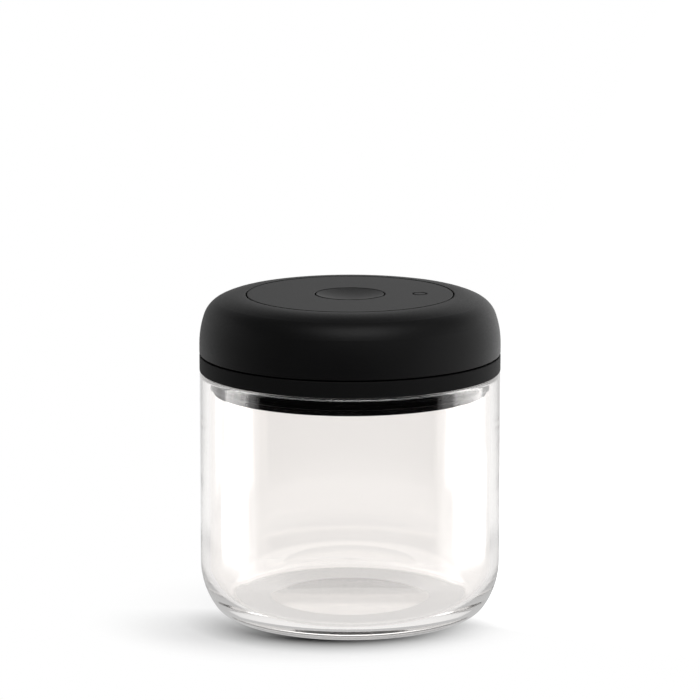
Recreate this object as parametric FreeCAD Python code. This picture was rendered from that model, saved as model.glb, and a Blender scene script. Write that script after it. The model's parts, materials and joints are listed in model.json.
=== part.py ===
import FreeCAD, Part
import math
import os

# Vacuum canister: a glass jar, and a lid whose cap twists back and forth to work an air pump.
# Millimetres and degrees, +Z up. The origin is the middle of the jar's base, where it stands.

# Jar
jar_radius = 58.5
jar_height = 96.2
jar_wall = 3.5
jar_base = 5.5
heel_height = 20.2
heel_reach = 12.5
heel_foot_radius = 9.0
rim_round_share = 0.48
punt_radius = 32.0
punt_depth = 0.8

# Outside of the lid
ring_height = 6.2
seam_gap = 0.7
cap_height = 22.7
cap_wall = 2.4
cap_lip = 1.6
shoulder_height = 19.1
shoulder_corner_share = 0.619
shoulder_side_turn = 18.9
shoulder_crown_turn = 63.5
edge_round = 0.3

# Top plate with the well of the release button
plate_radius = 39.9
plate_gap = 0.6
plate_thickness = 2.2
rib_count = 8
rib_depth = 2.0
rib_thickness = 1.6
well_wall = 1.8
well_depth = 10.5
well_floor = 1.8

# Ledge that the cap carries under the plate
ledge_gap = 0.5
ledge_thickness = 2.4

# Plug of the lid base and its gasket
plug_depth = 7.6
plug_wall = 2.2
plug_flange_thickness = 2.4
floor_thickness = 2.6
foot_flange_height = 1.3
foot_flange_inset = 0.3
labyrinth_gap = 0.6
labyrinth_wall = 1.6
labyrinth_height = 3.0
gasket_gap = 0.3
gasket_lip = 1.0
gasket_thickness = 2.0
gasket_slack = 0.2
lip_root = 1.9
lip_tip = 0.7
lip_place_shares = (0.25, 0.75)

# Release button, stem and valve
button_radius = 13.15
button_gap = 0.6
button_dish = 1.3
button_plate = 2.0
button_wall = 1.6
button_skirt = 6.0
hub_gap = 0.25
hub_entry = 2.2
socket_depth = 4.6
stem_radius = 2.4
stem_head_radius = 5.2
stem_head_height = 1.5
valve_seal_radius = 6.2
valve_seal_thickness = 1.6
vent_gap = 1.0
release_wire = 0.6
release_turns = 6
release_spring_length = 11.5
press_fit_gap = 0.03

# Centre tube and the nut that holds the plate on it
spring_step = 1.1
tube_wall = 2.2
spigot_wall = 1.3
spigot_proud = 0.4
nut_height = 2.8
nut_width = 16.0
nut_gap = 0.05

# Vacuum indicator
indicator_offset = 27.0
indicator_radius = 2.25
indicator_gap = 0.7
indicator_head_height = 5.5
indicator_stem_radius = 1.3
indicator_wall = 1.0
indicator_bore = 3.5
indicator_collar_wall = 0.4
indicator_collar_depth = 1.4
indicator_seat_thickness = 1.6
indicator_stem_gap = 0.3
indicator_wire = 0.5
indicator_turns = 6
indicator_spring_length = 8.0
housing_gap = 0.9
diaphragm_skin = 0.7
diaphragm_rise = 3.0
diaphragm_boss_radius = 2.5
diaphragm_boss_height = 3.0
diaphragm_side_gap = 0.3
indicator_port_radius = 1.2

# Pump cylinder
cylinder_wall = 2.0
web_thickness = 2.8
slot_side_gap = 0.25
ear_radius = 2.9
ear_reach = 3.2
ear_count = 4
o_ring_thickness = 1.4
o_ring_squeeze = 0.1
o_ring_side_gap = 0.15
o_ring_wall = 0.9

# Piston, its seals and its arms
piston_gap = 0.5
piston_height = 6.4
piston_slide_gap = 0.2
seal_lift = 0.8
seal_height = 2.8
seal_depth = 1.7
seal_slide_gap = 0.1
seal_slack = 0.1
seal_margin = 0.5
arm_width = 7.0
arm_thickness = 4.4
arm_lift = 0.4
arm_side_gap = 0.6
upright_inset = 0.3

# Cam sleeve with its slots, follower pins, glide ring and retainer
cap_twist = 80.0
cam_gap = 0.6
cam_wall = 4.0
cam_crown = 1.4
cam_flange = 3.0
cam_flange_thickness = 2.0
cam_slot_gap = 0.25
pin_radius = 1.7
pin_depth = 5.0
pin_end_gap = 0.4
bearing_height = 10.4
bearing_inset = 0.8
glide_thickness = 0.6
retainer_gap = 0.5
retainer_lift = 0.4
retainer_thickness = 2.2
retainer_wall = 1.8
retainer_foot = 2.0
retainer_screw_count = 4

# Air valves and inlet filter
valve_radius = 3.4
valve_dome = 1.6
valve_edge = 0.5
valve_stem_radius = 1.1
valve_stem_gap = 0.1
valve_barb_radius = 1.6
valve_barb_height = 1.2
valve_recess_gap = 0.5
port_radius = 0.6
port_circle_share = 0.62
port_count = 6
filter_radius = 3.5
filter_thickness = 1.0
filter_cover_wall = 0.8
filter_cover_gap = 0.1
filter_cover_flange = 1.3
filter_cover_thickness = 1.2
filter_hole_radius = 0.5
filter_hole_circle_share = 0.62
filter_hole_count = 6

# Screws
screw_radius = 1.0
screw_head_radius = 1.8
screw_head_height = 1.2
screw_grip = 2.0
screw_long_grip = 6.0
screw_gap = 0.05
screw_key_radius = 0.8
screw_key_depth = 0.7
screw_first_turn = 45.0
cam_screw_turns = (115.0, 165.0, 295.0, 345.0)

# Overrun of every cut past the solid that it goes through, and how near two points count as one
overrun = 1.0
same_place = 1e-6

# Heights worked out from the sizes above
ring_top = jar_height + ring_height
cap_foot = ring_top + seam_gap
lid_top = cap_foot + cap_height
shoulder_foot = lid_top - shoulder_height
plate_bottom = lid_top - plate_thickness
ledge_top = plate_bottom - ledge_gap
ledge_bottom = ledge_top - ledge_thickness
plug_bottom = jar_height - plug_depth
floor_top = plug_bottom + floor_thickness
web_top = floor_top + web_thickness
well_bottom = plate_bottom - well_depth
well_floor_top = well_bottom + well_floor
spigot_top = well_floor_top + nut_height + spigot_proud
hub_bottom = spigot_top - hub_entry
release_seat = hub_bottom - release_spring_length
piston_bottom = web_top + valve_dome + piston_gap
piston_top = piston_bottom + piston_height
slot_half = pin_radius + cam_slot_gap
seal_top = piston_bottom + seal_lift + seal_height
pin_room = ledge_bottom - cam_crown - slot_half - seal_top - seal_margin - arm_lift - arm_thickness / 2
stroke = pin_room / 2
slot_bottom = seal_top + stroke + seal_margin
arm_bottom = slot_bottom + arm_lift
arm_top = arm_bottom + arm_thickness
pin_height = arm_bottom + arm_thickness / 2
cylinder_top = arm_top + stroke
bearing_top = floor_top + bearing_height
cam_bottom = bearing_top + glide_thickness
cam_flange_top = cam_bottom + cam_flange_thickness
plug_flange_top = jar_height + plug_flange_thickness
retainer_foot_top = plug_flange_top + retainer_foot
retainer_bottom = cam_flange_top + retainer_lift
retainer_top = retainer_bottom + retainer_thickness
diaphragm_top = floor_top + diaphragm_skin + diaphragm_rise
indicator_stem_bottom = diaphragm_top
indicator_head_bottom = lid_top - indicator_head_height
indicator_seat = indicator_head_bottom - indicator_spring_length

# Radii worked out from the sizes above
jar_bore = jar_radius - jar_wall
rim_round = jar_wall * rim_round_share
cap_bore = jar_radius - cap_wall
plate_opening = plate_radius + plate_gap
shoulder_end = plate_opening + cap_lip
shoulder_reach = jar_radius - shoulder_end
shoulder_corner_radius = shoulder_reach * shoulder_corner_share
labyrinth_radius = cap_bore - labyrinth_gap
labyrinth_bore = labyrinth_radius - labyrinth_wall
gasket_lip_radius = jar_bore - gasket_gap
gasket_radius = gasket_lip_radius - gasket_lip
groove_radius = gasket_radius - gasket_thickness
plug_bore = groove_radius - plug_wall
foot_flange_radius = gasket_radius - foot_flange_inset
well_bore = button_radius + button_gap
well_radius = well_bore + well_wall
vent_bore = stem_radius + vent_gap
tube_bore = vent_bore + spring_step
tube_radius = tube_bore + tube_wall
spigot_radius = tube_bore + spigot_wall
hub_radius = tube_bore - hub_gap
housing_radius = indicator_bore + indicator_wall
cylinder_radius = indicator_offset - housing_radius - housing_gap
cylinder_bore = cylinder_radius - cylinder_wall
piston_radius = cylinder_bore - piston_slide_gap
piston_bore = tube_radius + piston_slide_gap
valve_offset = (tube_radius + cylinder_bore) / 2
upright_inner = well_radius + arm_side_gap
upright_outer = piston_radius - upright_inset
cam_bore = indicator_offset + housing_radius + cam_gap
cam_radius = cam_bore + cam_wall
cam_flange_radius = cam_radius + cam_flange
cam_screw_circle = cam_bore + cam_wall / 2
arm_end = cam_bore - arm_side_gap
retainer_bore = cam_radius + retainer_gap
retainer_room = cam_flange_radius + retainer_gap
retainer_radius = labyrinth_bore - retainer_gap
retainer_screw_circle = (plug_bore + labyrinth_bore) / 2
ear_circle = cylinder_radius + ear_reach
filter_cover_bore = filter_radius + filter_cover_gap
filter_cover_spigot = filter_cover_bore + filter_cover_wall
filter_pocket = filter_cover_spigot + filter_cover_gap
valve_recess = valve_radius + valve_recess_gap

up = FreeCAD.Vector(0, 0, 1)
middle = FreeCAD.Vector(0, 0, 0)


def arc_chain(start, heading, bends):
    """Points of tangent arcs from start: each bend is a radius and the turn to the left."""
    r, z = start
    points = [start]
    for radius, turn in bends:
        centre_r = r - radius * math.sin(math.radians(heading))
        centre_z = z + radius * math.cos(math.radians(heading))
        for part in (turn / 2, turn):
            angle = math.radians(heading + part)
            r = centre_r + radius * math.sin(angle)
            z = centre_z - radius * math.cos(angle)
            points.append((r, z))
        heading += turn
    return points


def oval_bends(reach, height, foot_radius):
    """Two tangent arcs that turn from the floor to the wall over a reach and a height."""
    turn = 2 * math.atan2(reach - foot_radius, height - foot_radius)
    wall_radius = foot_radius + (height - foot_radius) / math.sin(turn)
    degrees = math.degrees(turn)
    return [(foot_radius, 90 - degrees), (wall_radius, degrees)]


def shoulder_bends(inset):
    """Three tangent arcs of the cap's shoulder, moved inwards by the inset."""
    side = math.radians(shoulder_side_turn)
    crown = math.radians(shoulder_crown_turn)
    reach = shoulder_reach - shoulder_corner_radius * (math.cos(side) - math.cos(crown))
    height = shoulder_height - shoulder_corner_radius * (math.sin(crown) - math.sin(side))
    a, b = 1 - math.cos(side), math.cos(crown)
    c, d = math.sin(side), 1 - math.sin(crown)
    whole = a * d - b * c
    side_radius = (reach * d - b * height) / whole
    crown_radius = (a * height - reach * c) / whole
    corner_turn = shoulder_crown_turn - shoulder_side_turn
    return [
        (side_radius - inset, shoulder_side_turn),
        (shoulder_corner_radius - inset, corner_turn),
        (crown_radius - inset, 90 - shoulder_crown_turn),
    ]


def bowl_height_at(radius, depth, r):
    """Depth of a shallow round bowl at radius r, for its rim radius and its depth in the middle."""
    sphere = (radius ** 2 + depth ** 2) / (2 * depth)
    return math.sqrt(sphere ** 2 - r ** 2) - (sphere - depth)


class Outline:
    """A closed outline in radius and height, drawn counterclockwise and turned about Z."""

    def __init__(self, r, z):
        self.start = (r, z)
        self.at = (r, z)
        self.edges = []

    def line(self, r, z):
        self.edges.append(Part.makeLine(FreeCAD.Vector(self.at[0], 0, self.at[1]), FreeCAD.Vector(r, 0, z)))
        self.at = (r, z)
        return self

    def arcs(self, points):
        for mid, end in zip(points[1::2], points[2::2]):
            three = [FreeCAD.Vector(r, 0, z) for r, z in (self.at, mid, end)]
            self.edges.append(Part.Arc(*three).toShape())
            self.at = end
        return self

    def corner(self, heading, radius):
        return self.arcs(arc_chain(self.at, heading, [(radius, 90)]))

    def turned(self):
        if math.dist(self.at, self.start) > same_place:
            self.line(*self.start)
        face = Part.Face(Part.Wire(self.edges))
        return face.revolve(middle, up, 360)


def around(count, first=0.0):
    """Angles of a number of places spread evenly over a turn."""
    return [first + 360.0 * i / count for i in range(count)]


def polar(radius, angle):
    return radius * math.cos(math.radians(angle)), radius * math.sin(math.radians(angle))


def rod(radius, low, high, x=0.0, y=0.0):
    return Part.makeCylinder(radius, high - low, FreeCAD.Vector(x, y, low), up)


def hole(radius, low, high, x=0.0, y=0.0):
    """A round cutter that overruns both ends."""
    return rod(radius, low - overrun, high + overrun, x, y)


def tube(inner, outer, low, high, x=0.0, y=0.0):
    return rod(outer, low, high, x, y).cut(hole(inner, low, high, x, y))


def block(low_x, high_x, low_y, high_y, low_z, high_z):
    corner = FreeCAD.Vector(low_x, low_y, low_z)
    return Part.makeBox(high_x - low_x, high_y - low_y, high_z - low_z, corner)


def turned_copies(shape, angles):
    copies = []
    for angle in angles:
        copy = shape.copy()
        copy.rotate(middle, up, angle)
        copies.append(copy)
    return copies


def moved(shape, x, y):
    shape.translate(FreeCAD.Vector(x, y, 0))
    return shape


def cut_all(shape, cutters):
    for cutter in cutters:
        shape = shape.cut(cutter)
    return shape


def join_all(shape, extras):
    for extra in extras:
        shape = shape.fuse(extra)
    return shape.removeSplitter()


def hexagon(radius, low, high, x=0.0, y=0.0):
    corners = [polar(radius, angle) for angle in around(6)]
    points = [FreeCAD.Vector(x + dx, y + dy, low) for dx, dy in corners]
    wire = Part.makePolygon(points + points[:1])
    return Part.Face(wire).extrude(FreeCAD.Vector(0, 0, high - low))


def screw(seat, grip, x, y):
    """A screw with a flat head on the seat, its shank pointing down, and a hexagon socket."""
    top = seat + screw_head_height
    body = rod(screw_head_radius, seat, top, x, y).fuse(rod(screw_radius, seat - grip, seat, x, y))
    key = hexagon(screw_key_radius, top - screw_key_depth, top + overrun, x, y)
    return body.removeSplitter().cut(key)


def screws(seat, grip, circle, angles):
    return Part.makeCompound([screw(seat, grip, *polar(circle, angle)) for angle in angles])


def threads(face, circle, count):
    """Cutters for the blind holes of a circle of screws, below a face."""
    spots = [polar(circle, angle) for angle in around(count, screw_first_turn)]
    return [rod(screw_radius + screw_gap, face - screw_grip - screw_gap, face + overrun, *spot) for spot in spots]


def biarc(start, start_way, end, end_way):
    """Two tangent arcs from one point and direction to another."""
    gap = end - start
    ways = start_way + end_way
    along = gap.dot(ways)
    spread = 2 * (1 - start_way.dot(end_way))
    reach = (math.sqrt(along ** 2 + spread * gap.dot(gap)) - along) / spread
    first = start + start_way * reach
    second = end - end_way * reach
    joint = (first + second) / 2
    arcs = []
    for tip, corner, tail in ((start, first, joint), (joint, second, end)):
        chord = (tip + tail) / 2
        inward = chord - corner
        radius = reach * (chord - tip).Length / inward.Length
        bulge = math.sqrt(radius ** 2 + reach ** 2) - radius
        arcs.append(Part.Arc(tip, corner + inward * (bulge / inward.Length), tail).toShape())
    return arcs


def coil(coil_radius, wire, low, high, turns, x=0.0, y=0.0):
    """A helical spring between two heights, its wire swept along quarter turns."""
    rise = (high - low - wire) / (2 * math.pi * turns)
    steps = 4 * turns

    def place(i):
        angle = math.pi / 2 * i
        spot_x = coil_radius * math.cos(angle)
        spot_y = coil_radius * math.sin(angle)
        spot = FreeCAD.Vector(x + spot_x, y + spot_y, low + wire / 2 + rise * angle)
        way = FreeCAD.Vector(-spot_y, spot_x, rise)
        return spot, way.normalize()

    edges = []
    for i in range(steps):
        edges += biarc(*place(i), *place(i + 1))
    section = Part.Wire(Part.makeCircle(wire / 2, *place(0)))
    return Part.Wire(edges).makePipeShell([section], True, False)


def glass_jar():
    heel = arc_chain((jar_radius - heel_reach, 0.0), 0, oval_bends(heel_reach, heel_height, heel_foot_radius))
    bowl_reach = heel_reach - jar_wall
    bowl_bends = oval_bends(bowl_reach, heel_height - jar_base, heel_foot_radius - jar_wall)
    bowl = arc_chain((jar_bore - bowl_reach, jar_base), 0, bowl_bends)
    punt_mid = (punt_radius / 2, bowl_height_at(punt_radius, punt_depth, punt_radius / 2))
    draw = Outline(0, punt_depth)
    draw.arcs([(0, punt_depth), punt_mid, (punt_radius, 0)])
    draw.line(*heel[0]).arcs(heel)
    draw.line(jar_radius, jar_height - rim_round).corner(90, rim_round)
    draw.line(jar_bore + rim_round, jar_height).corner(180, rim_round)
    draw.line(*bowl[-1]).arcs(bowl[::-1])
    draw.line(0, jar_base)
    return draw.turned()


def lid_base():
    foot_flange_top = plug_bottom + foot_flange_height
    draw = Outline(0, plug_bottom)
    draw.line(foot_flange_radius - edge_round, plug_bottom).corner(0, edge_round)
    draw.line(foot_flange_radius, foot_flange_top).line(groove_radius, foot_flange_top)
    draw.line(groove_radius, jar_height)
    draw.line(jar_radius - edge_round, jar_height).corner(0, edge_round)
    draw.line(jar_radius, ring_top - edge_round).corner(90, edge_round)
    draw.line(labyrinth_radius, ring_top).line(labyrinth_radius, ring_top + labyrinth_height)
    draw.line(labyrinth_bore, ring_top + labyrinth_height).line(labyrinth_bore, plug_flange_top)
    draw.line(plug_bore, plug_flange_top).line(plug_bore, floor_top).line(0, floor_top)
    body = draw.turned()
    bearing = tube(cam_bore + bearing_inset, cam_flange_radius, floor_top, bearing_top)
    body = join_all(body, [bearing])
    cutters = threads(floor_top, ear_circle, ear_count)
    cutters += threads(plug_flange_top, retainer_screw_circle, retainer_screw_count)
    cutters.append(hole(vent_bore, plug_bottom, floor_top))
    cutters.append(hole(filter_pocket, plug_bottom, floor_top, -valve_offset))
    cutters.append(hole(indicator_port_radius, plug_bottom, floor_top, indicator_offset))
    return cut_all(body, cutters)


def jar_gasket():
    low = plug_bottom + foot_flange_height + gasket_slack
    high = jar_height - gasket_slack
    draw = Outline(groove_radius + press_fit_gap, low).line(gasket_radius, low)
    for share in lip_place_shares:
        place = low + (high - low) * share
        draw.line(gasket_radius, place - lip_root / 2)
        draw.line(gasket_lip_radius, place - lip_tip / 2)
        draw.line(gasket_lip_radius, place + lip_tip / 2)
        draw.line(gasket_radius, place + lip_root / 2)
    return draw.line(gasket_radius, high).line(groove_radius + press_fit_gap, high).turned()


def o_ring_circles():
    inset = o_ring_wall + o_ring_thickness / 2
    return (tube_radius + inset - tube_wall / 2, cylinder_radius - inset)


def pump_cylinder():
    draw = Outline(vent_bore, floor_top).line(cylinder_radius, floor_top)
    draw.line(cylinder_radius, cylinder_top).line(cylinder_bore, cylinder_top)
    draw.line(cylinder_bore, web_top).line(tube_radius, web_top)
    draw.line(tube_radius, well_bottom).line(spigot_radius, well_bottom)
    draw.line(spigot_radius, spigot_top).line(tube_bore, spigot_top)
    draw.line(tube_bore, release_seat).line(vent_bore, release_seat)
    body = draw.turned()
    ear_spots = [polar(ear_circle, angle) for angle in around(ear_count, screw_first_turn)]
    ears = []
    for angle in around(ear_count, screw_first_turn):
        ear = rod(ear_radius, floor_top, web_top, ear_circle)
        root = block(cylinder_bore + cylinder_wall / 2, ear_circle, -ear_radius, ear_radius, floor_top, web_top)
        ears += turned_copies(ear.fuse(root), [angle])
    body = join_all(body, ears)
    slot_half_width = arm_width / 2 + slot_side_gap
    slot = block(-slot_half_width, slot_half_width, upright_inner, cylinder_radius + overrun,
                 slot_bottom, cylinder_top + overrun)
    cutters = turned_copies(slot, around(2))
    cutters += [hole(screw_radius + screw_gap, floor_top, web_top, *spot) for spot in ear_spots]
    cutters += valve_ports(floor_top, web_top, -valve_offset)
    for circle in o_ring_circles():
        reach = o_ring_thickness / 2 + o_ring_side_gap
        cutters.append(tube(circle - reach, circle + reach, floor_top - overrun,
                            floor_top + o_ring_thickness - o_ring_squeeze))
    return cut_all(body, cutters)


def cylinder_o_rings():
    rings = []
    for circle in o_ring_circles():
        half = o_ring_thickness / 2
        low = floor_top
        high = floor_top + o_ring_thickness - o_ring_squeeze
        round_off = (high - low) / 2
        draw = Outline(circle - half + round_off, low).line(circle + half - round_off + press_fit_gap, low)
        draw.arcs(arc_chain(draw.at, 0, [(round_off, 180)]))
        draw.line(circle - half + round_off, high)
        draw.arcs(arc_chain(draw.at, 180, [(round_off, 180)]))
        rings.append(draw.turned())
    return Part.makeCompound(rings)


def valve_ports(low, high, x):
    """Cutters for a valve's stem hole and the ring of ports around it."""
    cutters = [hole(valve_stem_radius + valve_stem_gap, low, high, x)]
    for angle in around(port_count):
        dx, dy = polar(valve_radius * port_circle_share, angle)
        cutters.append(hole(port_radius, low, high, x + dx, dy))
    return cutters


def umbrella_valve(seat, thickness, x):
    """A rubber umbrella that lies on a seat and is held by a barbed stem through it."""
    under = seat - thickness
    barb_end = under - valve_barb_height
    top = seat + valve_dome
    draw = Outline(0, barb_end).line(valve_stem_radius, barb_end).line(valve_barb_radius, under)
    draw.line(valve_stem_radius, under).line(valve_stem_radius, seat)
    draw.line(valve_radius, seat).line(valve_radius, seat + valve_edge)
    crown = valve_dome - valve_edge
    middle_r = valve_radius / 2
    crown_mid = (middle_r, seat + valve_edge + bowl_height_at(valve_radius, crown, middle_r))
    draw.arcs([draw.at, crown_mid, (0, top)])
    return moved(draw.turned(), x, 0)


def inlet_filter():
    return rod(filter_radius, plug_bottom, plug_bottom + filter_thickness, -valve_offset)


def filter_cover():
    low = plug_bottom - filter_cover_thickness
    body = rod(filter_pocket + filter_cover_flange, low, plug_bottom, -valve_offset)
    spigot = tube(filter_cover_bore, filter_cover_spigot, plug_bottom, plug_bottom + filter_thickness,
                  -valve_offset)
    body = join_all(body, [spigot])
    spots = [(0, 0)] + [polar(filter_radius * filter_hole_circle_share, a) for a in around(filter_hole_count)]
    return cut_all(body, [hole(filter_hole_radius, low, plug_bottom, dx - valve_offset, dy) for dx, dy in spots])


def top_plate():
    draw = Outline(spigot_radius + nut_gap, well_bottom).line(well_radius, well_bottom)
    draw.line(well_radius, plate_bottom).line(plate_radius, plate_bottom)
    draw.line(plate_radius, lid_top - edge_round).corner(90, edge_round)
    draw.line(well_bore + edge_round, lid_top).corner(180, edge_round)
    draw.line(well_bore, well_floor_top).line(spigot_radius + nut_gap, well_floor_top)
    body = draw.turned()
    half_turn = 180.0 / rib_count
    rib = block(well_bore + well_wall / 2, arm_end, -rib_thickness / 2, rib_thickness / 2,
                plate_bottom - rib_depth, plate_bottom + plate_thickness / 2)
    ribs = turned_copies(rib, around(rib_count, half_turn))
    pin_hole = indicator_radius + indicator_gap
    collar = rod(pin_hole + indicator_collar_wall, plate_bottom - indicator_collar_depth,
                 plate_bottom + plate_thickness / 2, indicator_offset)
    body = join_all(body, ribs + [collar])
    bevel = Part.makeCone(pin_hole, pin_hole + edge_round, edge_round,
                          FreeCAD.Vector(indicator_offset, 0, lid_top - edge_round), up)
    return cut_all(body, [hole(pin_hole, plate_bottom - indicator_collar_depth, lid_top, indicator_offset), bevel])


def plate_nut():
    low = well_floor_top
    body = hexagon(nut_width / 2 / math.cos(math.pi / 6), low, low + nut_height)
    return body.cut(hole(spigot_radius + nut_gap, low, low + nut_height))


def cap_retainer():
    wall_radius = retainer_room + retainer_wall
    draw = Outline(retainer_room, plug_flange_top).line(retainer_radius, plug_flange_top)
    draw.line(retainer_radius, retainer_foot_top).line(wall_radius, retainer_foot_top)
    draw.line(wall_radius, retainer_top).line(retainer_bore, retainer_top)
    draw.line(retainer_bore, retainer_bottom).line(retainer_room, retainer_bottom)
    body = draw.turned()
    spots = [polar(retainer_screw_circle, angle) for angle in around(retainer_screw_count, screw_first_turn)]
    drill = screw_radius + screw_gap
    head_room = screw_head_radius + screw_gap
    cutters = [hole(drill, plug_flange_top, retainer_foot_top, *spot) for spot in spots]
    cutters += [rod(head_room, retainer_foot_top, retainer_top + overrun, *spot) for spot in spots]
    return cut_all(body, cutters)


def glide_ring():
    return tube(cam_bore + bearing_inset, cam_flange_radius, bearing_top, cam_bottom)


def indicator_housing():
    low = floor_top + diaphragm_skin
    seat_bottom = indicator_seat - indicator_seat_thickness
    lower_bore = diaphragm_boss_radius + diaphragm_side_gap
    guide = indicator_stem_radius + indicator_stem_gap
    draw = Outline(lower_bore, low).line(housing_radius, low).line(housing_radius, plate_bottom)
    draw.line(indicator_bore, plate_bottom).line(indicator_bore, indicator_seat)
    draw.line(guide, indicator_seat).line(guide, seat_bottom).line(lower_bore, seat_bottom)
    return moved(draw.turned(), indicator_offset, 0)


def indicator_diaphragm():
    skirt = diaphragm_boss_radius - diaphragm_skin
    shelf = diaphragm_top - diaphragm_skin
    socket = indicator_stem_radius + press_fit_gap
    draw = Outline(skirt, floor_top).line(housing_radius, floor_top)
    draw.line(housing_radius, floor_top + diaphragm_skin)
    draw.line(diaphragm_boss_radius, floor_top + diaphragm_skin)
    draw.line(diaphragm_boss_radius, diaphragm_top + diaphragm_boss_height)
    draw.line(socket, diaphragm_top + diaphragm_boss_height)
    draw.line(socket, diaphragm_top).line(0, diaphragm_top).line(0, shelf).line(skirt, shelf)
    return moved(draw.turned(), indicator_offset, 0)


def indicator_pin():
    draw = Outline(0, indicator_stem_bottom).line(indicator_stem_radius, indicator_stem_bottom)
    draw.line(indicator_stem_radius, indicator_head_bottom).line(indicator_radius, indicator_head_bottom)
    draw.line(indicator_radius, lid_top - edge_round).corner(90, edge_round)
    draw.line(0, lid_top)
    return moved(draw.turned(), indicator_offset, 0)


def indicator_spring():
    coil_radius = (indicator_stem_radius + indicator_radius) / 2
    return coil(coil_radius, indicator_wire, indicator_seat, indicator_head_bottom, indicator_turns,
                indicator_offset)


def release_spring():
    coil_radius = (vent_bore + hub_radius) / 2
    return coil(coil_radius, release_wire, release_seat, hub_bottom, release_turns)


def release_button():
    skirt_bottom = lid_top - button_skirt
    rim = button_radius - edge_round
    wall_inner = button_radius - button_wall
    under = lid_top - button_dish - button_plate
    socket = stem_radius + press_fit_gap
    socket_top = hub_bottom + socket_depth
    dish_mid = (rim / 2, lid_top - bowl_height_at(rim, button_dish, rim / 2))
    draw = Outline(socket, hub_bottom).line(hub_radius, hub_bottom).line(hub_radius, under)
    draw.line(wall_inner, under).line(wall_inner, skirt_bottom).line(button_radius, skirt_bottom)
    draw.line(button_radius, lid_top - edge_round).corner(90, edge_round)
    draw.arcs([draw.at, dish_mid, (0, lid_top - button_dish)])
    draw.line(0, socket_top).line(socket, socket_top)
    return draw.turned()


def release_stem():
    head_top = plug_bottom - valve_seal_thickness
    draw = Outline(0, head_top - stem_head_height)
    draw.line(stem_head_radius - edge_round, head_top - stem_head_height).corner(0, edge_round)
    draw.line(stem_head_radius, head_top).line(stem_radius, head_top)
    draw.line(stem_radius, hub_bottom + socket_depth).line(0, hub_bottom + socket_depth)
    return draw.turned()


def release_valve_seal():
    return tube(stem_radius + press_fit_gap, valve_seal_radius, plug_bottom - valve_seal_thickness, plug_bottom)


def lid_cap():
    outer = arc_chain((jar_radius, shoulder_foot), 90, shoulder_bends(0))
    inner = arc_chain((cap_bore, shoulder_foot), 90, shoulder_bends(cap_wall))
    draw = Outline(cap_bore, cap_foot)
    draw.line(jar_radius - edge_round, cap_foot).corner(0, edge_round)
    draw.line(*outer[0]).arcs(outer)
    draw.line(plate_opening + edge_round, lid_top).corner(180, edge_round)
    draw.line(plate_opening, ledge_top).line(cam_bore, ledge_top)
    draw.line(cam_bore, ledge_bottom).line(shoulder_end, ledge_bottom)
    draw.line(*inner[-1]).arcs(inner[::-1])
    body = draw.turned()
    spots = [polar(cam_screw_circle, turn) for turn in cam_screw_turns]
    sink = ledge_top - screw_head_height
    drill = screw_radius + screw_gap
    head = screw_head_radius + screw_gap
    cutters = [rod(drill, ledge_bottom - overrun, ledge_top, *spot) for spot in spots]
    cutters += [rod(head, sink, ledge_top + overrun, *spot) for spot in spots]
    return cut_all(body, cutters)


def cam_slot():
    """Cutter for one helical slot, from the pin's low place at 90 degrees up to its high place."""
    cam_middle = cam_bore + cam_wall / 2
    lead = stroke * 360.0 / cap_twist
    slope = math.atan2(lead, 2 * math.pi * cam_middle)
    half = slot_half / math.cos(slope)
    near = cam_bore - overrun
    far = cam_radius + overrun
    corners = [FreeCAD.Vector(r, 0, z) for r, z in ((near, -half), (far, -half), (far, half), (near, half))]
    section = Part.makePolygon(corners + corners[:1])
    path = Part.Wire(Part.makeHelix(lead, stroke, cam_middle))
    groove = path.makePipeShell([section], True, True)
    pieces = [groove]
    for angle, rise in ((0.0, 0.0), (cap_twist, stroke)):
        x, y = polar(near, angle)
        way = FreeCAD.Vector(*polar(1, angle), 0)
        pieces.append(Part.makeCylinder(slot_half, far - near, FreeCAD.Vector(x, y, rise), way))
    cutters = []
    for piece in pieces:
        flipped = piece.mirror(middle, FreeCAD.Vector(0, 1, 0))
        flipped.translate(FreeCAD.Vector(0, 0, pin_height))
        cutters += turned_copies(flipped, around(2, 90.0))
    return cutters


def cam_sleeve():
    body = tube(cam_bore, cam_radius, cam_bottom, ledge_bottom)
    flange = tube(cam_bore, cam_flange_radius, cam_bottom, cam_flange_top)
    body = join_all(body, [flange])
    depth = ledge_top - screw_head_height - screw_long_grip - screw_gap
    spots = [polar(cam_screw_circle, turn) for turn in cam_screw_turns]
    drill = screw_radius + screw_gap
    cutters = [rod(drill, depth, ledge_bottom + overrun, *spot) for spot in spots]
    return cut_all(body, cutters + cam_slot())


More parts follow.
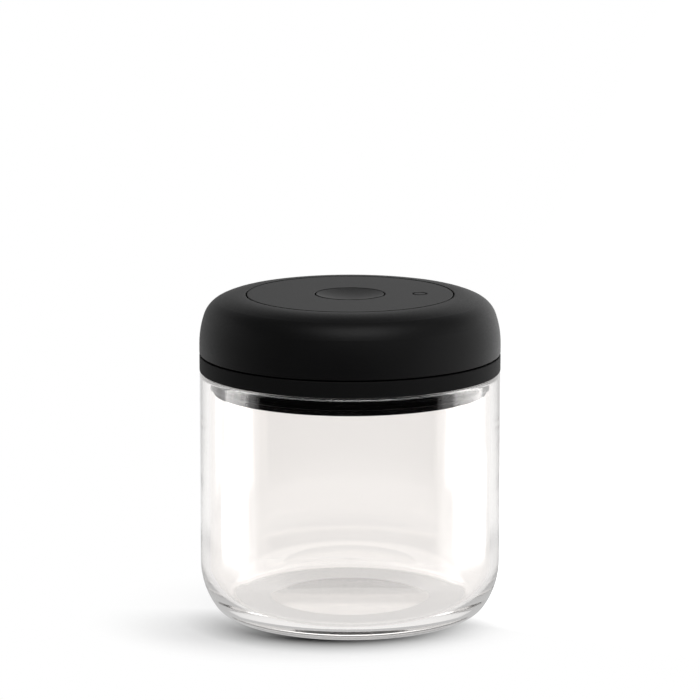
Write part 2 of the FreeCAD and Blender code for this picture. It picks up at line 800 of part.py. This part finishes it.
def pump_piston():
    groove_low = piston_bottom + seal_lift
    groove_high = groove_low + seal_height
    outer_groove = piston_radius - seal_depth
    inner_groove = piston_bore + seal_depth
    draw = Outline(piston_bore, piston_bottom).line(piston_radius, piston_bottom)
    draw.line(piston_radius, groove_low).line(outer_groove, groove_low)
    draw.line(outer_groove, groove_high).line(piston_radius, groove_high)
    draw.line(piston_radius, piston_top).line(piston_bore, piston_top)
    draw.line(piston_bore, groove_high).line(inner_groove, groove_high)
    draw.line(inner_groove, groove_low).line(piston_bore, groove_low)
    body = draw.turned()
    half = arm_width / 2
    upright = block(-half, half, 0, piston_radius, piston_top - seal_lift, arm_top)
    upright = upright.common(tube(upright_inner, upright_outer, piston_top - seal_lift, arm_top))
    arm = block(-half, half, upright_inner + upright_inset, arm_end, arm_bottom, arm_top)
    body = join_all(body, turned_copies(upright, around(2)) + turned_copies(arm, around(2)))
    barb_room = valve_barb_radius + valve_recess_gap
    barb_depth = valve_barb_height + valve_recess_gap
    recess_floor = piston_top - valve_dome
    cutters = [
        rod(valve_recess, recess_floor, piston_top + overrun, valve_offset),
        rod(barb_room, piston_bottom - overrun, piston_bottom + barb_depth, valve_offset),
    ]
    cutters += valve_ports(piston_bottom, piston_top, valve_offset)
    for way in (1, -1):
        start = FreeCAD.Vector(0, way * (arm_end - pin_depth), pin_height)
        cutters.append(Part.makeCylinder(pin_radius, pin_depth + overrun, start, FreeCAD.Vector(0, way, 0)))
    return cut_all(body, cutters)


def piston_outer_seal():
    low = piston_bottom + seal_lift + seal_slack
    inner = piston_radius - seal_depth + seal_slack
    return tube(inner, cylinder_bore - seal_slide_gap, low, low + seal_height - seal_slack * 2)


def piston_inner_seal():
    low = piston_bottom + seal_lift + seal_slack
    outer = piston_bore + seal_depth - seal_slack
    return tube(tube_radius + seal_slide_gap, outer, low, low + seal_height - seal_slack * 2)


def follower_pins():
    pins = []
    for way in (1, -1):
        start = FreeCAD.Vector(0, way * (arm_end - pin_depth), pin_height)
        length = cam_radius - pin_end_gap - arm_end + pin_depth
        pins.append(Part.makeCylinder(pin_radius, length, start, FreeCAD.Vector(0, way, 0)))
    return Part.makeCompound(pins)


def outlet_valve():
    seat = piston_top - valve_dome
    under = piston_bottom + valve_barb_height + valve_recess_gap
    return umbrella_valve(seat, seat - under, valve_offset)


nodes = {
    "glass_jar": glass_jar(),
    "lid_base": lid_base(),
    "jar_gasket": jar_gasket(),
    "pump_cylinder": pump_cylinder(),
    "cylinder_o_rings": cylinder_o_rings(),
    "cylinder_screws": screws(web_top, screw_grip + web_thickness, ear_circle, around(ear_count, screw_first_turn)),
    "inlet_valve": umbrella_valve(web_top, web_thickness, -valve_offset),
    "inlet_filter": inlet_filter(),
    "filter_cover": filter_cover(),
    "top_plate": top_plate(),
    "plate_nut": plate_nut(),
    "cap_retainer": cap_retainer(),
    "retainer_screws": screws(retainer_foot_top, screw_grip + retainer_foot, retainer_screw_circle,
                              around(retainer_screw_count, screw_first_turn)),
    "glide_ring": glide_ring(),
    "indicator_housing": indicator_housing(),
    "indicator_diaphragm": indicator_diaphragm(),
    "indicator_spring": indicator_spring(),
    "indicator_pin": indicator_pin(),
    "release_spring": release_spring(),
    "release_button": release_button(),
    "release_stem": release_stem(),
    "release_valve_seal": release_valve_seal(),
    "lid_cap": lid_cap(),
    "cam_sleeve": cam_sleeve(),
    "cam_screws": screws(ledge_top - screw_head_height, screw_long_grip, cam_screw_circle, cam_screw_turns),
    "pump_piston": pump_piston(),
    "piston_outer_seal": piston_outer_seal(),
    "piston_inner_seal": piston_inner_seal(),
    "outlet_valve": outlet_valve(),
    "follower_pins": follower_pins(),
}

os.makedirs("parts", exist_ok=True)
for name, shape in nodes.items():
    shape.exportStep("parts/" + name + ".step")
    print(name, "solids", len(shape.Solids), "volume", round(shape.Volume, 1), "valid", shape.isValid())
print("lid top", round(lid_top, 3), "stroke", round(stroke, 4), "release spring from", round(release_seat, 4))
print("indicator spring from", round(indicator_seat, 4), "floor top", round(floor_top, 4))
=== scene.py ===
import json
import math
import bmesh
import bpy
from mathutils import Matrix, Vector


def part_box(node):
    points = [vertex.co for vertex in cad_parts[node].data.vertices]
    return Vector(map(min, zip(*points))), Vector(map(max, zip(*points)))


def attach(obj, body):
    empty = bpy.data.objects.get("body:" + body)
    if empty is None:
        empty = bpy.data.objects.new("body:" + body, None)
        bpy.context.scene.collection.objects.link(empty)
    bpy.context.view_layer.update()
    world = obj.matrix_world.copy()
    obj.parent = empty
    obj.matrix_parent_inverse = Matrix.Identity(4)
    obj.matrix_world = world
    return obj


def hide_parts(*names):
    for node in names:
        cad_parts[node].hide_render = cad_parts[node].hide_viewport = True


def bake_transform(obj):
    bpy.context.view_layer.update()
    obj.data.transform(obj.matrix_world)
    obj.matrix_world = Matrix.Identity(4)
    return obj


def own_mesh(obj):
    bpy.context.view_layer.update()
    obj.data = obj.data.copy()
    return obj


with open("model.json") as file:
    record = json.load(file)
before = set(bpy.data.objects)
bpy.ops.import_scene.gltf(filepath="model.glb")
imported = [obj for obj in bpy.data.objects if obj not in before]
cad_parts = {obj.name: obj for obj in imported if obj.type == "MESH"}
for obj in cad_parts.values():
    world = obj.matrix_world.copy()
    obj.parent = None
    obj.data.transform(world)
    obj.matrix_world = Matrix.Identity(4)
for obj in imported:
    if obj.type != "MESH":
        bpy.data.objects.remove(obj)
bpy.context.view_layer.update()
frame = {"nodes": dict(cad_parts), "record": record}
nodes = frame["nodes"]
scene = bpy.context.scene

# Jar, in metres, as in the part's source
jar_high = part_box("glass_jar")[1]
jar_radius = jar_high.x
jar_height = jar_high.z
jar_wall = 0.0035
jar_base = 0.0055
heel_height = 0.0202
heel_reach = 0.0125
heel_foot_radius = 0.009
rim_share = 0.48
rim_round = jar_wall * rim_share
punt_radius = 0.032
punt_depth = 0.0008
punt_rings = 10

# The lid: painted shade on the plug, a more matte ring, a satin cap, and the height over which they
# change
ring_height = 0.0062
ring_top = jar_height + ring_height
ring_matte = 0.22
shade_and_finish_fade = 0.0004

# Rubber cup under the indicator pin
cup_low, cup_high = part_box("indicator_diaphragm")
cup_boss_radius = 0.0025
cup_skin = 0.0007
cup_shelf = 0.003
cup_socket = 0.00133

# The springs' wires, and the turns and fineness of their coils
release_wire = 0.0006
indicator_wire = 0.0005
spring_turns = 6
turn_steps = 16
wire_facets = 3

# Fineness of the turned meshes, and the angles in degrees from which their edges are sharp
around_segments = 192
arc_step = 4.0
jar_crease = 60.0
cup_crease = 40.0

# The middle range of the noise textures, which the materials spread over their values
noise_range = (0.3, 0.7)

# Camera, solved from the outlines in the photo: metres, degrees, and millimetres for lens and sensor
camera_distance = 1.4
camera_elevation = 10.851
camera_aim = 0.10354
camera_lens = 185.29
camera_sensor = 36.0

# Bounces of light, enough for the glass of the jar's base and edges
light_bounces = 96

# Counts of bounces: above the first is any bounce, and above the second is deep in the glass
any_bounce = 0.5
deep_bounces = 2.5

# Floor: its height, just above the jar's foot, its front edge, how far it reaches, and its colour
floor_height = 0.00002
floor_front = -0.17
floor_reach = 3.0
floor_colour = (0.95, 0.95, 0.95, 1.0)

# Shadow: the oval in which it shows, the depth over which it fades to the back, and painted contact
# shadow at the foot
shadow_centre = Vector((-0.014, -0.008, 0.0))
shadow_stretch = Vector((0.85, 1.0, 1.0))
shadow_oval = (0.036, 0.078)
shadow_front = -0.046
shadow_back = 0.0
back_share = 0.93
foot_ring = (0.044, 0.05)
painted_contact_reach = 0.016

# Floor as the glass shows it: painted light under the base, and painted shade around the jar in sharp
# rays
under_ring = (0.048, 0.056)
under_painted_light = 0.7
near_ring = (0.12, 0.17)
edge_painted_shade = 0.45
heel_painted_shade = 0.05

# World: the heights where its sides fade, higher at the back, its least light, and the light by azimuth
sky_fade = (0.3, 0.62)
sky_back = (0.85, 1.0)
sky_lift = 0.2
front_light = 0.01
side_lights = {-180: 0.68, -157: 0.62, -140: 0.98, -120: 1.0, -106: 0.68, -90: 0.5, -55: 0.2, 0: 0.05,
               40: 0.5, 74: 1.3, 106: 1.3, 120: 1.5, 140: 1.95, 157: 1.65, 180: 0.68}

# World in sharp reflections: a light above, plain light after a few of them, and tall lights by azimuth
glass_top = (0.35, 0.5)
glass_top_light = 3.0
deep_light = 0.85
strip_top = (-0.217, -0.206)
strip_share = 0.3
glass_lights = {-180: 1.0, -118: 1.0, -114: 6.0, -91: 6.0, -87: 1.2, -78: 1.0, -76: 0.0,
                73: 0.0, 75: 1.0, 88: 1.2, 94: 6.0, 126: 6.0, 130: 1.0, 180: 1.0}


def arc_chain(start, heading, bends):
    """Points of tangent arcs from start: each bend is a radius and the turn to the left, in degrees."""
    r, z = start
    points = [start]
    for radius, turn in bends:
        centre_r = r - radius * math.sin(math.radians(heading))
        centre_z = z + radius * math.cos(math.radians(heading))
        count = max(2, round(abs(turn) / arc_step))
        for i in range(1, count + 1):
            angle = math.radians(heading + turn * i / count)
            r = centre_r + radius * math.sin(angle)
            z = centre_z - radius * math.cos(angle)
            points.append((r, z))
        heading += turn
    return points


def oval_bends(reach, height, foot_radius):
    """Two tangent arcs that turn from the floor to the wall over a reach and a height."""
    turn = 2 * math.atan2(reach - foot_radius, height - foot_radius)
    wall_radius = foot_radius + (height - foot_radius) / math.sin(turn)
    degrees = math.degrees(turn)
    return [(foot_radius, 90 - degrees), (wall_radius, degrees)]


def bowl(radius, depth, r):
    """Height of a shallow round cap at radius r, for its rim radius and its height in the middle."""
    sphere = (radius ** 2 + depth ** 2) / (2 * depth)
    return math.sqrt(sphere ** 2 - r ** 2) - (sphere - depth)


def lathe(name, outline, crease, x=0.0):
    """A closed outline of radius and height turned about an upright axis, as a smooth mesh."""
    mesh = bpy.data.meshes.new(name)
    build = bmesh.new()
    rings = []
    for r, z in outline:
        if r == 0:
            rings.append([build.verts.new((x, 0, z))])
            continue
        ring = []
        for i in range(around_segments):
            angle = 2 * math.pi * i / around_segments
            ring.append(build.verts.new((x + r * math.cos(angle), r * math.sin(angle), z)))
        rings.append(ring)
    for near, far in zip(rings, rings[1:] + rings[:1]):
        if len(near) == 1 and len(far) == 1:
            continue
        for i in range(around_segments):
            j = (i + 1) % around_segments
            corners = [near[i % len(near)], near[j % len(near)], far[j % len(far)], far[i % len(far)]]
            build.faces.new(dict.fromkeys(corners))
    bmesh.ops.recalc_face_normals(build, faces=build.faces)
    build.to_mesh(mesh)
    build.free()
    mesh.shade_smooth()
    mesh.set_sharp_from_angle(angle=math.radians(crease))
    piece = bpy.data.objects.new(name, mesh)
    scene.collection.objects.link(piece)
    return piece


class Tree:
    """Short ways to add nodes to a shader tree."""

    def __init__(self, tree):
        self.tree = tree

    def feed(self, socket, value):
        """A link from another node, or a plain value, into a socket."""
        if isinstance(value, bpy.types.NodeSocket):
            self.tree.links.new(value, socket)
        else:
            socket.default_value = value

    def add(self, kind, inputs=None, **settings):
        node = self.tree.nodes.new("ShaderNode" + kind)
        for name, value in settings.items():
            setattr(node, name, value)
        for key, value in (inputs or {}).items():
            self.feed(node.inputs[key], value)
        return node

    def math(self, operation, first, second):
        return self.add("Math", {0: first, 1: second}, operation=operation).outputs[0]

    def length(self, vector):
        return self.add("VectorMath", {0: vector}, operation="LENGTH").outputs["Value"]

    def rest(self, share):
        """What a share leaves of 1."""
        return self.math("SUBTRACT", 1.0, share)

    def spread(self, value, low, high, start, end):
        """The value's range from low to high, eased to run from start to end."""
        limits = {"Value": value, "From Min": low, "From Max": high, "To Min": start, "To Max": end}
        return self.add("MapRange", limits, interpolation_type="SMOOTHSTEP").outputs["Result"]


class Paint(Tree):
    """A material with a principled shader, and what feeds it."""

    def __init__(self, name, **values):
        self.material = bpy.data.materials.new(name)
        self.material.use_nodes = True
        super().__init__(self.material.node_tree)
        self.shader = self.tree.nodes["Principled BSDF"]
        self.output = self.tree.nodes["Material Output"]
        self.coords = self.add("TexCoord").outputs["Object"]
        for socket, value in values.items():
            self.shader.inputs[socket.replace("_", " ")].default_value = value

    def noise(self, scale, detail=2.0, stretch=(1.0, 1.0, 1.0)):
        place = self.add("Mapping", {"Vector": self.coords, "Scale": stretch}).outputs["Vector"]
        return self.add("TexNoise", {"Vector": place, "Scale": scale, "Detail": detail}).outputs["Fac"]

    def colour(self, fac, low, high, places=noise_range):
        node = self.add("ValToRGB", {"Fac": fac})
        for element, place, value in zip(node.color_ramp.elements, places, (low, high)):
            element.position = place
            element.color = (*value, 1.0)
        self.feed(self.shader.inputs["Base Color"], node.outputs["Color"])

    def rough(self, fac, low, high):
        self.feed(self.shader.inputs["Roughness"], self.spread(fac, *noise_range, low, high))

    def bump(self, height, distance, strength):
        node = self.add("Bump", {"Height": height, "Distance": distance, "Strength": strength})
        self.feed(self.shader.inputs["Normal"], node.outputs["Normal"])


def black_plastic():
    """The lid's plastic, with painted shade that darkens the plug, more matte on the ring and satin
    above.
    """
    paint = Paint("black_plastic", Specular_IOR_Level=0.12)
    height = paint.add("SeparateXYZ", {0: paint.coords}).outputs["Z"]
    # Painted shade: the plug below the rim gets a darker colour than the lid above it
    above_painted_shade = paint.spread(height, jar_height - shade_and_finish_fade, jar_height, 0.0, 1.0)
    patches = paint.spread(paint.noise(scale=60.0, detail=3.0), *noise_range, start=0.8, end=1.0)
    tone = paint.math("MULTIPLY", above_painted_shade, patches)
    paint.colour(tone, low=(0.0012, 0.0012, 0.0013), high=(0.0054, 0.0054, 0.0056), places=(0.0, 1.0))
    grain = paint.noise(scale=2600.0)
    matte = paint.spread(height, ring_top, ring_top + shade_and_finish_fade, ring_matte, 0.0)
    satin = paint.spread(grain, *noise_range, start=0.42, end=0.52)
    paint.feed(paint.shader.inputs["Roughness"], paint.math("ADD", matte, satin))
    paint.bump(grain, distance=0.00003, strength=0.3)
    return paint.material


def black_silicone():
    paint = Paint("black_silicone", Specular_IOR_Level=0.1)
    tone = paint.noise(scale=90.0, detail=3.0)
    paint.colour(tone, low=(0.001, 0.001, 0.0012), high=(0.0018, 0.0018, 0.002))
    grain = paint.noise(scale=1500.0)
    paint.rough(grain, low=0.3, high=0.42)
    paint.bump(grain, distance=0.00002, strength=0.2)
    return paint.material


def grey_plastic():
    paint = Paint("grey_plastic")
    tone = paint.noise(scale=70.0, detail=3.0)
    paint.colour(tone, low=(0.145, 0.15, 0.155), high=(0.175, 0.18, 0.185))
    grain = paint.noise(scale=2000.0)
    paint.rough(grain, low=0.38, high=0.5)
    paint.bump(grain, distance=0.00003, strength=0.3)
    return paint.material


def white_acetal():
    paint = Paint("white_acetal")
    tone = paint.noise(scale=50.0, detail=3.0)
    paint.colour(tone, low=(0.74, 0.74, 0.71), high=(0.81, 0.81, 0.78))
    grain = paint.noise(scale=1800.0)
    paint.rough(grain, low=0.3, high=0.42)
    paint.bump(grain, distance=0.00002, strength=0.3)
    return paint.material


def pale_silicone():
    paint = Paint("pale_silicone", Transmission_Weight=0.25, Subsurface_Weight=0.3,
                  Subsurface_Scale=0.001)
    tone = paint.noise(scale=200.0)
    paint.colour(tone, low=(0.68, 0.68, 0.63), high=(0.76, 0.76, 0.72))
    grain = paint.noise(scale=1500.0)
    paint.rough(grain, low=0.4, high=0.52)
    paint.bump(grain, distance=0.00002, strength=0.3)
    return paint.material


def steel():
    paint = Paint("steel", Metallic=1.0)
    tone = paint.noise(scale=300.0)
    paint.colour(tone, low=(0.54, 0.54, 0.545), high=(0.64, 0.64, 0.645))
    lines = paint.noise(scale=500.0, stretch=(1.0, 1.0, 12.0))
    paint.rough(lines, low=0.22, high=0.36)
    paint.bump(lines, distance=0.00001, strength=0.25)
    return paint.material


def filter_felt():
    paint = Paint("filter_felt", Sheen_Weight=0.4)
    fibres = paint.noise(scale=2200.0, detail=6.0)
    paint.colour(fibres, low=(0.68, 0.66, 0.6), high=(0.84, 0.82, 0.77))
    paint.rough(fibres, low=0.85, high=0.98)
    paint.bump(fibres, distance=0.0002, strength=0.7)
    return paint.material


def clear_glass():
    paint = Paint("clear_glass", Transmission_Weight=1.0, Roughness=0.0, IOR=1.5)
    tone = paint.noise(scale=15.0, detail=1.0)
    paint.colour(tone, low=(0.985, 0.966, 0.951), high=(0.997, 0.979, 0.965))
    waves = paint.noise(scale=22.0, detail=1.0)
    paint.bump(waves, distance=0.00003, strength=0.25)
    absorb = paint.add("VolumeAbsorption", {"Color": (0.40, 0.37, 0.35, 1.0), "Density": 3.5})
    paint.feed(paint.output.inputs["Volume"], absorb.outputs["Volume"])
    return paint.material


makers = (black_plastic, black_silicone, grey_plastic, white_acetal, pale_silicone, steel, filter_felt,
          clear_glass)
paints = {maker.__name__: maker() for maker in makers}
slots = {entry["node"]: entry["material_slot"] for entry in frame["record"]["subparts"]}


def dress(piece, slot):
    """Gives a piece the one material of its slot."""
    piece.data.materials.clear()
    piece.data.materials.append(paints[slot])


for name, node in nodes.items():
    dress(node, slots[name])


def add_piece(piece, replaced):
    """Puts a piece in the place of a CAD node, in that node's slot."""
    slot = slots[replaced]
    dress(piece, slot)
    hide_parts(replaced)


def jar_outline():
    """The hollow under the base, the heel, the rim, and the inside down to its middle."""
    bore = jar_radius - jar_wall
    heel_bends = oval_bends(heel_reach, heel_height, heel_foot_radius)
    heel = arc_chain((jar_radius - heel_reach, 0.0), 0, heel_bends)
    inner_reach = heel_reach - jar_wall
    inner_bends = oval_bends(inner_reach, heel_height - jar_base, heel_foot_radius - jar_wall)
    inner = arc_chain((bore - inner_reach, jar_base), 0, inner_bends)
    hollow_radii = [punt_radius * i / punt_rings for i in range(punt_rings + 1)]
    hollow = [(r, bowl(punt_radius, punt_depth, r)) for r in hollow_radii]
    rim = arc_chain((jar_radius, jar_height - rim_round), 90, [(rim_round, 90)])
    rim += arc_chain((bore + rim_round, jar_height), 180, [(rim_round, 90)])
    return hollow + heel + rim + inner[::-1] + [(0, jar_base)]


def cup_outline():
    """The cup's flange, bellows wall and the boss that grips the pin."""
    foot = cup_low.z
    flange = (cup_high.x - cup_low.x) / 2
    skirt = cup_boss_radius - cup_skin
    shelf = foot + cup_shelf
    floor = shelf + cup_skin
    outer = [(flange, foot), (flange, foot + cup_skin), (cup_boss_radius, foot + cup_skin)]
    boss = [(cup_boss_radius, cup_high.z), (cup_socket, cup_high.z), (cup_socket, floor), (0, floor)]
    return [(skirt, foot)] + outer + boss + [(0, shelf), (skirt, shelf)]


def coil(name, x, coil_radius, wire, low, high):
    """A round wire wound into a spring between two heights."""
    curve = bpy.data.curves.new(name, "CURVE")
    curve.dimensions = "3D"
    curve.bevel_depth = wire / 2
    curve.bevel_resolution = wire_facets
    curve.use_fill_caps = True
    steps = turn_steps * spring_turns
    line = curve.splines.new("POLY")
    line.points.add(steps)
    for i, point in enumerate(line.points):
        angle = 2 * math.pi * spring_turns * i / steps
        z = low + wire / 2 + (high - low - wire) * i / steps
        point.co = (x + coil_radius * math.cos(angle), coil_radius * math.sin(angle), z, 1.0)
    holder = bpy.data.objects.new(name + "_path", curve)
    scene.collection.objects.link(holder)
    bpy.context.view_layer.update()
    mesh = bpy.data.meshes.new_from_object(holder)
    bpy.data.objects.remove(holder)
    mesh.shade_smooth()
    piece = bpy.data.objects.new(name, mesh)
    scene.collection.objects.link(piece)
    return piece


def add_spring(node, wire):
    """A spring that stands on its lower end, fixed to the lid."""
    low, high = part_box(node)
    x = (low.x + high.x) / 2
    piece = coil(node + "_coil", x, (high.x - low.x - wire) / 2, wire, low.z, high.z)
    add_piece(piece, node)
    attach(piece, "lid")
    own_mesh(piece)


jar = lathe("jar_glass", jar_outline(), jar_crease)
add_piece(jar, "glass_jar")
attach(jar, "jar")
add_spring("release_spring", release_wire)
add_spring("indicator_spring", indicator_wire)

# The cup, turned about its own axis in place of the CAD diaphragm
cup_x = (cup_low.x + cup_high.x) / 2
cup = lathe("indicator_cup", cup_outline(), cup_crease, x=cup_x)
add_piece(cup, "indicator_diaphragm")
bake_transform(cup)


def compass(tree, vector):
    """X and Y of a direction or a place as seen from above, at a length of 1."""
    flat = tree.add("VectorMath", {0: vector, 1: (1.0, 1.0, 0.0)}, operation="MULTIPLY").outputs[0]
    unit = tree.add("VectorMath", {0: flat}, operation="NORMALIZE").outputs[0]
    return tree.add("SeparateXYZ", {0: unit}).outputs


def by_azimuth(tree, split, lights):
    """The brightness listed for a direction's azimuth in degrees, from the viewer to the right."""
    azimuth = tree.math("ARCTAN2", split["X"], tree.math("MULTIPLY", split["Y"], -1.0))
    limits = {"Value": azimuth, "From Min": -math.pi, "From Max": math.pi}
    ramp = tree.add("ValToRGB", {"Fac": tree.add("MapRange", limits).outputs["Result"]})
    peak = max(lights.values())
    stops = ramp.color_ramp.elements
    while len(stops) < len(lights):
        stops.new(1.0)
    for stop, (angle, light) in zip(stops, lights.items()):
        stop.position = (angle + 180) / 360
        stop.color = (light / peak, light / peak, light / peak, 1.0)
    return tree.math("MULTIPLY", ramp.outputs["Color"], peak)


def shadow_fade(tree, place, distance):
    """How much of the shadow is gone at a place on the floor: 0 is none of it, and 1 is all."""
    offset = {0: place, 1: shadow_stretch, 2: -shadow_centre * shadow_stretch}
    offset = tree.add("VectorMath", offset, operation="MULTIPLY_ADD").outputs[0]
    shade = tree.spread(tree.length(offset), *shadow_oval, 1.0, 0.0)
    depth = tree.add("SeparateXYZ", {0: place}).outputs["Y"]
    limits = {"Value": depth, "From Min": shadow_front, "From Max": shadow_back, "To Max": back_share}
    behind = tree.add("MapRange", limits).outputs["Result"]
    behind = tree.math("MULTIPLY", behind, tree.spread(distance, *foot_ring, 0.0, 1.0))
    return tree.rest(tree.math("MULTIPLY", shade, tree.rest(behind)))


def floor_light(tree, path, place, near, reflected):
    """The glow of the plain floor: 1 when seen straight, and other values in reflections, with painted
    shade near the jar.
    """
    rough = tree.rest(path["Is Singular Ray"])
    sides = tree.math("MULTIPLY", rough, by_azimuth(tree, compass(tree, place), side_lights))
    # Painted shade: near the jar the floor glows less in sharp reflections, and a little less through
    # the heel
    painted_shade = {"Value": path["Is Transmission Ray"], "To Min": edge_painted_shade, "To Max": heel_painted_shade}
    painted_shade = tree.math("MULTIPLY", path["Is Singular Ray"], tree.add("MapRange", painted_shade).outputs["Result"])
    bright = tree.math("MAXIMUM", tree.math("MULTIPLY", near, tree.rest(painted_shade)), sides)
    return tree.math("MAXIMUM", tree.rest(reflected), bright)


def build_floor():
    """A pale floor that keeps its shadow in front of the object and is white, or nearly so, elsewhere.

    Sharp reflections pass through it to the world's lights, except close to the jar.
    """
    mesh = bpy.data.meshes.new("floor")
    corners = [(-floor_reach, floor_front, floor_height), (floor_reach, floor_front, floor_height),
               (floor_reach, floor_reach, floor_height), (-floor_reach, floor_reach, floor_height)]
    mesh.from_pydata(corners, [], [(0, 1, 2, 3)])
    floor = bpy.data.objects.new("floor", mesh)
    scene.collection.objects.link(floor)
    material = bpy.data.materials.new("floor")
    material.use_nodes = True
    material.node_tree.nodes.clear()
    tree = Tree(material.node_tree)
    place = tree.add("TexCoord").outputs["Object"]
    distance = tree.length(place)
    near = tree.spread(distance, *near_ring, 1.0, 0.0)
    path = tree.add("LightPath").outputs
    reflected = tree.math("GREATER_THAN", path["Glossy Depth"], any_bounce)
    seen = tree.math("MAXIMUM", path["Is Camera Ray"], path["Is Transmission Ray"])
    seen = tree.math("MAXIMUM", seen, path["Is Glossy Ray"])
    seen = tree.math("MULTIPLY", seen, tree.math("LESS_THAN", path["Diffuse Depth"], any_bounce))
    # Painted light: through the glass, the floor under the base is mostly plain white in place of its
    # shadow
    under = tree.spread(distance, *under_ring, under_painted_light, 0.0)
    inside = tree.math("MULTIPLY", path["Is Transmission Ray"], under)
    plain = tree.math("MAXIMUM", shadow_fade(tree, place, distance), reflected)
    share = tree.math("MULTIPLY", seen, tree.math("MAXIMUM", plain, inside))
    glow = tree.add("Emission", {"Strength": floor_light(tree, path, place, near, reflected)})
    # Painted contact shadow: ambient occlusion darkens the floor's colour close to the foot
    painted_contact_shadow = tree.add("AmbientOcclusion", {"Color": floor_colour, "Distance": painted_contact_reach})
    matte = tree.add("BsdfDiffuse", {"Color": painted_contact_shadow.outputs["Color"]})
    lit = tree.add("MixShader", {0: share, 1: matte.outputs[0], 2: glow.outputs[0]})
    sharp = tree.math("MULTIPLY", reflected, path["Is Singular Ray"])
    through = tree.math("MULTIPLY", sharp, tree.rest(near))
    clear = tree.add("BsdfTransparent")
    surface = tree.add("MixShader", {0: through, 1: lit.outputs[0], 2: clear.outputs[0]})
    tree.add("OutputMaterial", {"Surface": surface.outputs[0]})
    mesh.materials.append(material)


def build_world():
    """White for the camera, also through clear glass. Light and reflections find the studio's sides.

    Sharp reflections, as in the glass, find a white surround with a dark front, two tall lights and one
    above. Light that was reflected a few times is plain.
    """
    world = bpy.data.worlds.new("studio")
    scene.world = world
    world.use_nodes = True
    world.node_tree.nodes.clear()
    tree = Tree(world.node_tree)
    direction = tree.add("TexCoord").outputs["Generated"]
    height = tree.add("SeparateXYZ", {0: direction}).outputs["Z"]
    split = compass(tree, direction)
    lift = tree.spread(split["Y"], *sky_back, 0.0, sky_lift)
    low_sky = tree.spread(tree.math("SUBTRACT", height, lift), *sky_fade, 1.0, 0.0)
    path = tree.add("LightPath").outputs
    strips = by_azimuth(tree, split, glass_lights)
    weak = tree.math("MULTIPLY", strips, tree.spread(height, *strip_top, 1.0, strip_share))
    strips = tree.math("MAXIMUM", weak, tree.math("MINIMUM", strips, 1.0))
    sides = {"Factor": path["Is Singular Ray"], "A": by_azimuth(tree, split, side_lights), "B": strips}
    sides = tree.add("Mix", sides).outputs["Result"]
    studio = tree.math("MAXIMUM", tree.math("MULTIPLY", sides, low_sky), front_light)
    top = tree.spread(height, *glass_top, 0.0, glass_top_light)
    studio = tree.math("MAXIMUM", studio, tree.math("MULTIPLY", path["Is Singular Ray"], top))
    deep = tree.math("GREATER_THAN", path["Glossy Depth"], deep_bounces)
    studio = tree.add("Mix", {"Factor": deep, "A": studio, "B": deep_light}).outputs["Result"]
    bounces = tree.math("ADD", path["Glossy Depth"], path["Diffuse Depth"])
    unbounced = tree.math("LESS_THAN", bounces, any_bounce)
    through = tree.math("MULTIPLY", path["Is Transmission Ray"], unbounced)
    straight = tree.math("MAXIMUM", path["Is Camera Ray"], through)
    white = {"Color": (1.0, 1.0, 1.0, 1.0), "Strength": tree.math("MAXIMUM", straight, studio)}
    white = tree.add("Background", white)
    tree.add("OutputWorld", {"Surface": white.outputs[0]})


def softbox(name, azimuth, elevation, distance, width, height, brightness):
    """A flat lamp that looks at the lid, with its azimuth counted from the viewer to the right.

    A brightness of 1 is white.
    """
    light = bpy.data.lights.new(name, "AREA")
    light.shape = "RECTANGLE"
    light.size = width
    light.size_y = height
    light.energy = brightness * math.pi * width * height
    lamp = bpy.data.objects.new(name, light)
    turn = math.radians(azimuth)
    tilt = math.radians(elevation)
    way = Vector((math.cos(tilt) * math.sin(turn), -math.cos(tilt) * math.cos(turn), math.sin(tilt)))
    lamp.location = Vector((0, 0, jar_height)) + way * distance
    lamp.rotation_euler = (-way).to_track_quat("-Z", "Y").to_euler()
    scene.collection.objects.link(lamp)


def build_camera():
    """The photo's camera, in front of the object and above it."""
    data = bpy.data.cameras.new("camera")
    data.lens = camera_lens
    data.sensor_width = camera_sensor
    camera = bpy.data.objects.new("camera", data)
    tilt = math.radians(camera_elevation)
    height = camera_aim + camera_distance * math.sin(tilt)
    camera.location = (0, -camera_distance * math.cos(tilt), height)
    camera.rotation_euler = (math.pi / 2 - tilt, 0, 0)
    scene.collection.objects.link(camera)
    scene.camera = camera


build_floor()
build_world()
softbox("key_softbox", azimuth=12.0, elevation=62.0, distance=1.15,
        width=0.75, height=0.85, brightness=4.8)
softbox("right_softbox", azimuth=80.0, elevation=50.0, distance=1.0,
        width=0.6, height=0.6, brightness=0.4)
build_camera()
scene.view_settings.view_transform = "Standard"
scene.cycles.max_bounces = light_bounces
scene.cycles.glossy_bounces = light_bounces
scene.cycles.transmission_bounces = light_bounces
